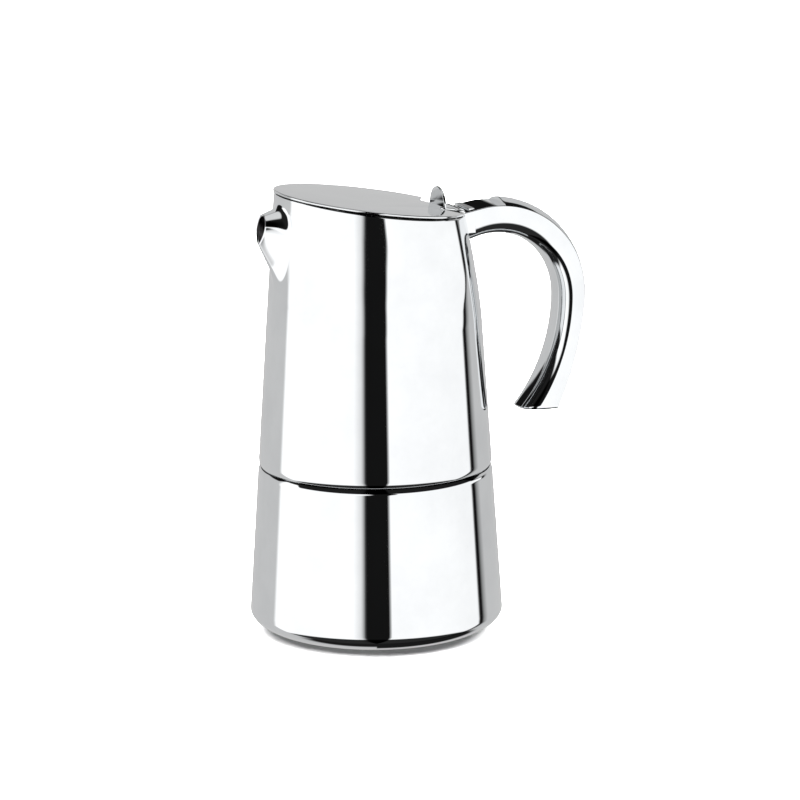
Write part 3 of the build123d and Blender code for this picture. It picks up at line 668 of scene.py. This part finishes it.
def trimmed(lines):
    """Each line starts where it leaves the wall, and keeps its number of points."""
    made = []
    for line in lines:
        outside = [inside_wall(p) > 0 for p in line]
        first = outside.index(True)
        if first == 0:
            made.append(line)
            continue
        low, high = line[first - 1], line[first]
        for _ in range(24):
            middle = (low + high) / 2
            if inside_wall(middle) > 0:
                high = middle
            else:
                low = middle
        kept = [high] + list(line[first:])
        lengths = np.concatenate([[0], np.cumsum([np.linalg.norm(b - a) for a, b in zip(kept, kept[1:])])])
        full = np.array(kept)
        # the points before the first one outside are spread over the first stretch
        spare = len(line) - len(kept)
        where = np.concatenate([np.linspace(0, lengths[min(6, len(kept) - 1)], spare + 6, endpoint=False),
                                lengths[min(6, len(kept) - 1):]])[:len(line)]
        made.append([np.array([np.interp(w, lengths, full[:, c]) for c in range(3)]) for w in where])
    return made


END_ROUND = 1.1               # rounding of the handle's cut end
STATIONS = 190


def make_handle():
    """Sides, belly, deck and rounded end of the handle in one skin."""
    build = Build()
    shares = np.linspace(0, 1, STATIONS)
    stations = [handle_section(s, HANDLE_END + END_ROUND) for s in shares]
    lines = [[station[k] for station in stations] for k in range(len(stations[0]))]
    lines = trimmed(lines)
    columns = [build.row(line) for line in lines]
    for low, high in zip(columns, columns[1:]):
        build.join(low, high, closed=False)
    # the flat deck, which also closes the skin under the crowned back
    deck = list(zip(columns[0], columns[-1]))
    for (a, b), (c, d) in zip(deck, deck[1:]):
        build.faces.append([a, c, d, b])
    # the end, rounded in to a flat cut
    last = [np.array(build.verts[column[-1]]) / MM for column in columns]
    middle = sum(last) / len(last)
    ring = [column[-1] for column in columns]
    for a in np.linspace(0, math.pi / 2, 7)[1:]:
        pulled = []
        for p in last:
            way = middle - p
            way[2] = 0
            way /= max(np.linalg.norm(way), 1e-6)
            q = p + way * END_ROUND * (1 - math.cos(a))
            q[2] = p[2] - END_ROUND * math.sin(a)
            pulled.append(q)
        new = build.row(pulled)
        build.join(new, ring)
        ring = new
    build.cap(ring, flip=True)
    # the root's open end lies inside the wall
    build.cap([column[0] for column in columns])
    return build.finish(
        "handle_hook", "collector", POLISHED,
        ["handle_channel", "handle_deck", "handle_end_cap"],
    )


STEP_CLEAR = 150.0            # below this height, a row of the crown is nowhere near the step


def make_crown():
    """The crowned back, from its D-shaped step to the cut end."""
    build = Build()
    half = HANDLE_WIDTH / 2 - 0.12
    shares = np.linspace(0, 1, 260)
    rows = []
    across = np.linspace(-1, 1, 25)
    bottom = HANDLE_END + END_ROUND
    for share in shares:
        (x, z), out = hook_point(EDGE, share, bottom)
        if x < DECK_END and share < 0.5:
            continue
        rows.append([
            np.array([
                x + out[0] * HANDLE_CROWN * (1 - s * s), s * half, z + out[1] * HANDLE_CROWN * (1 - s * s)
            ])
            for s in across
        ])
    # the first row stands upright over the step, with a small rounded edge
    (x, z), out = hook_point(EDGE, next(s for s in shares if hook_point(EDGE, s)[0][0] >= DECK_END), bottom)
    front = []
    for inset, back in ((0.30, 0.0), (0.12, 0.05), (0.03, 0.16), (0.0, 0.35)):
        front.append([
            np.array([DECK_END + back, p[1], max(p[2] - inset, z - 0.02)]) for p in rows[0]
        ])
    foot = [np.array([DECK_END, p[1], z - 0.4]) for p in rows[0]]
    centre_column = len(across) // 2
    rows = [foot] + front + [
        r for r in rows if r[centre_column][0] > DECK_END + 0.5 or r[centre_column][2] < STEP_CLEAR
    ]
    numbers = [build.row(r) for r in rows]
    for low, high in zip(numbers, numbers[1:]):
        build.join(low, high, closed=False, flip=True)
    # the back goes round the end with the rest of the handle
    last = rows[-1]
    centre = np.array([last[0][0] - 5.0, 0.0, 0.0])
    ring = numbers[-1]
    for a in np.linspace(0, math.pi / 2, 7)[1:]:
        pulled = []
        for p in last:
            way = np.array([centre[0] - p[0], centre[1] - p[1], 0.0])
            way /= np.linalg.norm(way)
            q = p + way * END_ROUND * (1 - math.cos(a))
            q[2] = p[2] - END_ROUND * math.sin(a)
            pulled.append(q)
        new = build.row(pulled)
        build.join(ring, new, closed=False, flip=True)
        ring = new
    return build.finish("handle_crown", "collector", POLISHED, ["handle_cover"])


# ---------------------------------------------------------------- lid

def on_lid(x, y, rise=0.0):
    """A point given across the lid, at a rise square to its top face."""
    return np.array([
        x + math.sin(RIM_SLANT) * rise, y, LID_TOP - SLOPE * x + math.cos(RIM_SLANT) * rise
    ])


def rounded(corners, radii, steps=7):
    """A closed outline with its corners rounded."""
    made = []
    count = len(corners)
    for k in range(count):
        here = np.array(corners[k], float)
        before, after = np.array(corners[k - 1], float), np.array(corners[(k + 1) % count], float)
        radius = radii[k]
        if radius <= 0:
            made.append(here)
            continue
        first = (before - here) / np.linalg.norm(before - here)
        second = (after - here) / np.linalg.norm(after - here)
        opening = math.acos(float(np.clip(first @ second, -1, 1)))
        back = radius / math.tan(opening / 2)
        for t in np.linspace(0, 1, steps):
            made.append(
                (1 - t) ** 2 * (here + first * back) + 2 * t * (1 - t) * here + t * t * (here + second * back)
            )
    return made


def inset_loop(loop, amounts):
    """Moves a closed outline inwards, by its own amount at each point."""
    points = np.array(loop)
    ahead = np.roll(points, -1, axis=0) - points
    behind = points - np.roll(points, 1, axis=0)
    ahead /= np.linalg.norm(ahead, axis=1)[:, None]
    behind /= np.linalg.norm(behind, axis=1)[:, None]
    tangent = ahead + behind
    tangent /= np.linalg.norm(tangent, axis=1)[:, None]
    inwards = np.stack([-tangent[:, 1], tangent[:, 0]], axis=1)
    return points + inwards * np.array(amounts)[:, None]


LID_ROLL = 0.5                # rounding of the lid's edge, across the lid
LID_DROP = 0.32               # and down its edge
RIM_DROP = 0.25               # how much lower the rolled rim lies than the sheet's cut edge


def make_lid():
    """The slanted disc, with a rounded edge all round and a notch on each side of the tongue."""
    build = Build()
    end = HINGE_X - BARREL_RADIUS - HINGE_GAP
    rim_x = RIM_OFFSET + math.sqrt(LID_RADIUS ** 2 - NOTCH_RIM_Y ** 2)
    start = math.atan2(NOTCH_RIM_Y, rim_x - RIM_OFFSET)
    rim = [
        (RIM_OFFSET + LID_RADIUS * math.cos(a), LID_RADIUS * math.sin(a))
        for a in np.linspace(start, 2 * math.pi - start, 260)
    ]
    step = NOTCH_X + NOTCH_SLOPE
    notch = rounded(
        [rim[-1], (NOTCH_X, -NOTCH_Y), (step, -TONGUE_HALF), (end, -TONGUE_HALF),
         (end, TONGUE_HALF), (step, TONGUE_HALF), (NOTCH_X, NOTCH_Y), rim[0]],
        [0, 0.9, 0.7, 0.4, 0.4, 0.7, 0.9, 0],
    )[1:-1]
    loop = rim + [tuple(p) for p in notch]
    profile = [(0.1, -LID_THICK), (0.0, -LID_THICK + 0.1)]
    profile += [
        (LID_ROLL * (1 - math.cos(a)), -LID_DROP * (1 - math.sin(a)))
        for a in np.linspace(0, math.pi / 2, 7)
    ]
    rows = []
    for inset, rise in profile:
        moved = inset_loop(loop, [inset] * len(loop)) if inset else loop
        rows.append(build.row([on_lid(x, y, rise) for x, y in moved]))
    for low, high in zip(rows, rows[1:]):
        build.join(low, high)
    build.cap(rows[-1])
    build.cap(rows[0], flip=True)
    return build.finish("lid_plate", "lid", LID_STEEL, ["lid_disc"])


def make_tab():
    """The half-oval thumb tab, a plate with a rounded edge."""
    build = Build()
    base = LID_TOP - SLOPE * TAB_X
    half, thick = TAB_WIDTH / 2, TAB_THICK / 2
    outline = [(half, -0.6)] + [
        (half * math.cos(a), TAB_HEIGHT * math.sin(a)) for a in np.linspace(0, math.pi, 60)
    ] + [(-half, -0.6)]
    rounding = 0.42

    def ring(x, inset):
        loop = inset_loop(outline, [inset] * len(outline))
        return build.row([(x, y, base + max(z, -0.55)) for y, z in loop])

    rows = [ring(TAB_X - thick, rounding)]
    for a in np.linspace(0, math.pi / 2, 5)[1:]:
        rows.append(ring(TAB_X - thick + rounding * (1 - math.cos(a)), rounding * (1 - math.sin(a))))
    for a in np.linspace(0, math.pi / 2, 5):
        rows.append(ring(TAB_X + thick - rounding * (1 - math.sin(a)), rounding * (1 - math.cos(a))))
    for low, high in zip(rows, rows[1:]):
        build.join(low, high)
    build.cap(rows[0], flip=True)
    build.cap(rows[-1])
    return build.finish("lid_thumb_tab", "lid", POLISHED, ["lid_tab"], sharp=50.0)


# ---------------------------------------------------------------- hinge bracket

BRACKET_HALF = 8.35           # just inside the handle's sides
EAR_RADIUS = 1.5


def make_bracket():
    """Two rounded ears on a block, with the slot in which the lid's barrel turns."""
    build = Build()
    front, back = HINGE_X - BARREL_RADIUS, HANDLE_START + BRACKET_BACK
    low, top = HINGE_Z - BRACKET_FOOT, HINGE_Z + HINGE_DROP
    slot_half = TONGUE_HALF + HINGE_GAP
    swing = math.hypot(BARREL_RADIUS + HINGE_GAP, HINGE_DROP) + HINGE_GAP
    ear = [(front, low), (back, low), (back, HINGE_Z)]
    ear += arc((HINGE_X, HINGE_Z), EAR_RADIUS, EAR_RADIUS, 0, 180, 20)
    seat = [(front, low), (back, low), (back, top), (HINGE_X + swing, top)]
    seat += arc((HINGE_X, HINGE_Z), swing, swing, 0, -90, 12) + [(front, HINGE_Z - swing)]
    for outline, near, far in (
        (ear, -BRACKET_HALF, -slot_half), (seat, -slot_half, slot_half), (ear, slot_half, BRACKET_HALF),
    ):
        rows = [build.row([(x, y, z) for x, z in outline]) for y in (near, far)]
        build.join(rows[0], rows[1], flip=True)
        build.cap(rows[0])
        build.cap(rows[1], flip=True)
    piece = build.finish("hinge_ears", "collector", POLISHED, ["hinge_bracket"])
    edge = piece.modifiers.new("edge", "BEVEL")
    edge.width = 0.22 * MM
    edge.segments = 3
    edge.limit_method = "ANGLE"
    edge.angle_limit = math.radians(50)
    return piece


make_boiler()
make_neck()
make_bracket()
make_collector()
make_ring()
make_handle()
make_crown()
make_lid()
make_tab()


# ---------------------------------------------------------------- stage, light and camera

TARGET = Vector((0.0, 0.0, 0.088))
AZIMUTH = math.radians(-22.0)
ELEVATION = math.radians(12.5)
DISTANCE = 2.0
ROLL = math.radians(-0.47)


def make_camera():
    data = bpy.data.cameras.new("camera")
    camera = bpy.data.objects.new("camera", data)
    bpy.context.scene.collection.objects.link(camera)
    back = Vector((
        math.sin(AZIMUTH) * math.cos(ELEVATION),
        -math.cos(AZIMUTH) * math.cos(ELEVATION),
        math.sin(ELEVATION),
    ))
    camera.location = TARGET + back * DISTANCE
    aim = (-back).to_track_quat("-Z", "Y")
    camera.rotation_mode = "QUATERNION"
    camera.rotation_quaternion = aim @ Quaternion((0, 0, 1), ROLL)
    data.sensor_width = 36.0
    data.lens = 227.4
    data.shift_x = 0.0314
    data.shift_y = 0.0149
    data.clip_start, data.clip_end = 0.01, 50.0
    bpy.context.scene.camera = camera


def plain(name, colour, rough):
    material, tree, shader = node_tree(name)
    grain = noise(tree, 40.0, 3.0)
    low = tuple(c * 0.985 for c in colour)
    tree.links.new(tint(tree, grain, low, colour), shader.inputs["Base Color"])
    shader.inputs["Roughness"].default_value = rough
    return material


FLOOR_RADIUS = 6.0
FLOOR_DROP = 0.0002           # just under the base, so that the two share no face


def make_floor():
    count = 128
    angles = [2 * math.pi * k / count for k in range(count)]
    verts = [(FLOOR_RADIUS * math.cos(a), FLOOR_RADIUS * math.sin(a), -FLOOR_DROP) for a in angles]
    mesh = bpy.data.meshes.new("floor")
    mesh.from_pydata(verts, [], [list(range(count))])
    mesh.update()
    floor = bpy.data.objects.new("floor", mesh)
    floor.data.materials.append(plain("floor_paper", (0.9, 0.9, 0.9), 0.9))
    floor.visible_glossy = False
    bpy.context.scene.collection.objects.link(floor)


def area(name, place, size, power, aim=(0, 0, 0.08)):
    data = bpy.data.lights.new(name, "AREA")
    data.shape = "RECTANGLE"
    data.size, data.size_y = size
    data.energy = power
    lamp = bpy.data.objects.new(name, data)
    lamp.location = place
    lamp.rotation_euler = (Vector(place) - Vector(aim)).to_track_quat("Z", "Y").to_euler()
    lamp.visible_glossy = False
    bpy.context.scene.collection.objects.link(lamp)
    return lamp


# brightness that a mirror sees level with it, by degrees from the camera, right positive
AROUND = [
    (-180, 0.60), (-108, 0.62), (-104.5, 1.25), (-21.0, 1.25), (-13.5, 0.86), (-9.6, 0.008),
    (12.0, 0.008), (13.8, 1.22), (106.5, 1.12), (108.6, 0.006), (112.5, 0.006), (116.0, 0.30),
    (122.0, 0.60), (180, 0.60),
]
# degrees up at which the surroundings turn dark, by the same angle
TOPS = [
    (-180, 8), (-172, 8), (-168, 56), (-150, 56), (-146, 14), (-112, 14), (-106, 26), (-88, 26),
    (-80, 12), (108, 10), (114, 10), (144, 20), (160, 38), (173, 38), (178, 9), (180, 8),
]
# degrees by which the boards lean with height: the front strip, and the edge on the right
LEAN_FULL = 20.0
FRONT_LEAN = [(-90, 0), (-4.2, 0), (-0.6, 1.2), (1.7, 4.3), (3.3, 7.8), (9, 8), (16, 0), (90, 0)]
RIGHT_LEAN = [(-90, 0), (-7.2, 0), (-4.2, 4.4), (-3.3, 17), (4, 19), (9, 0), (90, 0)]


def make_world():
    """Studio surroundings: white boards at the sides, a dark strip in front and grey behind.

    It is dark above the boards and steeply below, and bright again straight overhead.
    """
    world = bpy.data.worlds.new("studio")
    bpy.context.scene.world = world
    world.use_nodes = True
    tree = world.node_tree
    tree.nodes.clear()

    def math_node(operation, *inputs):
        node = tree.nodes.new("ShaderNodeMath")
        node.operation = operation
        for k, value in enumerate(inputs):
            if isinstance(value, (int, float)):
                node.inputs[k].default_value = value
            else:
                tree.links.new(value, node.inputs[k])
        return node.outputs["Value"]

    def ramp(value, stops):
        node = tree.nodes.new("ShaderNodeValToRGB")
        elements = node.color_ramp.elements
        while len(elements) < len(stops):
            elements.new(0.5)
        for element, (place, level) in zip(elements, stops):
            element.position = place
            element.color = (level, level, level, 1)
        tree.links.new(value, node.inputs["Fac"])
        return node.outputs["Color"]

    where = tree.nodes.new("ShaderNodeTexCoord")
    turned = tree.nodes.new("ShaderNodeMapping")
    turned.vector_type = "POINT"
    turned.inputs["Rotation"].default_value = (0, 0, math.radians(90) - AZIMUTH)
    tree.links.new(where.outputs["Generated"], turned.inputs["Vector"])
    parts = tree.nodes.new("ShaderNodeSeparateXYZ")
    tree.links.new(turned.outputs["Vector"], parts.inputs["Vector"])
    angle = math_node("ARCTAN2", parts.outputs["Y"], parts.outputs["X"])
    share = math_node("MULTIPLY_ADD", angle, 1 / (2 * math.pi), 0.5)
    height = math_node("MULTIPLY_ADD", parts.outputs["Z"], 0.5, 0.5)

    def up(degrees):
        return 0.5 + 0.5 * math.sin(math.radians(degrees))

    def by_angle(table):
        return ramp(share, [((a + 180) / 360, level) for a, level in table])

    def by_height(table, scale=1.0):
        return ramp(height, [(up(h), level * scale) for h, level in table])

    # the boards lean a little
    front = math_node(
        "MULTIPLY", by_height(FRONT_LEAN, 1 / LEAN_FULL), by_angle([(-60, 0), (-30, 1), (40, 1), (80, 0)])
    )
    right = math_node(
        "MULTIPLY", by_height(RIGHT_LEAN, 1 / LEAN_FULL), by_angle([(40, 0), (80, 1), (150, 1), (180, 0)])
    )
    lean = math_node("ADD", front, right)
    leaning = math_node("MULTIPLY_ADD", lean, -LEAN_FULL / 360, share)
    around = ramp(leaning, [((a + 180) / 360, level) for a, level in AROUND])

    # they end at a height that differs from side to side
    edge = by_angle([(a, up(top)) for a, top in TOPS])
    fall = tree.nodes.new("ShaderNodeMapRange")
    tree.links.new(height, fall.inputs["Value"])
    tree.links.new(edge, fall.inputs["From Min"])
    tree.links.new(math_node("ADD", edge, 0.026), fall.inputs["From Max"])
    fall.inputs["To Min"].default_value = 1.0
    fall.inputs["To Max"].default_value = 0.012
    lit = math_node("MULTIPLY", around, fall.outputs["Result"])

    # low down it is dark except behind on the left, and steeply below it is dark all round
    low = by_height([(-90, 1), (-44, 1), (-38, 0), (90, 0)])
    table = math_node("MULTIPLY", low, by_angle([(-112, 0), (-104, 0.98), (180, 0.98)]))
    below = by_height([(-90, 0.98), (-60, 0.98), (-52, 0), (90, 0)])
    dark = math_node("MAXIMUM", table, below)
    lit = math_node("MULTIPLY", lit, math_node("SUBTRACT", 1.0, dark))
    above = by_height([(-90, 0), (58, 0), (66, 0.75), (90, 0.75)])
    level = math_node("ADD", lit, above)
    surround = tree.nodes.new("ShaderNodeBackground")
    tree.links.new(level, surround.inputs["Color"])
    output = tree.nodes.new("ShaderNodeOutputWorld")
    tree.links.new(surround.outputs["Background"], output.inputs["Surface"])


make_floor()
area("key", (-0.9, -0.7, 1.6), (1.6, 1.6), 150.0)
area("fill", (1.1, -0.5, 1.6), (1.6, 1.6), 150.0)
area("back", (0.0, 2.0, 2.0), (3.4, 2.6), 110.0, aim=(0.0, 1.4, 0.0))
make_world()
make_camera()
bpy.context.scene.view_settings.view_transform = "Standard"
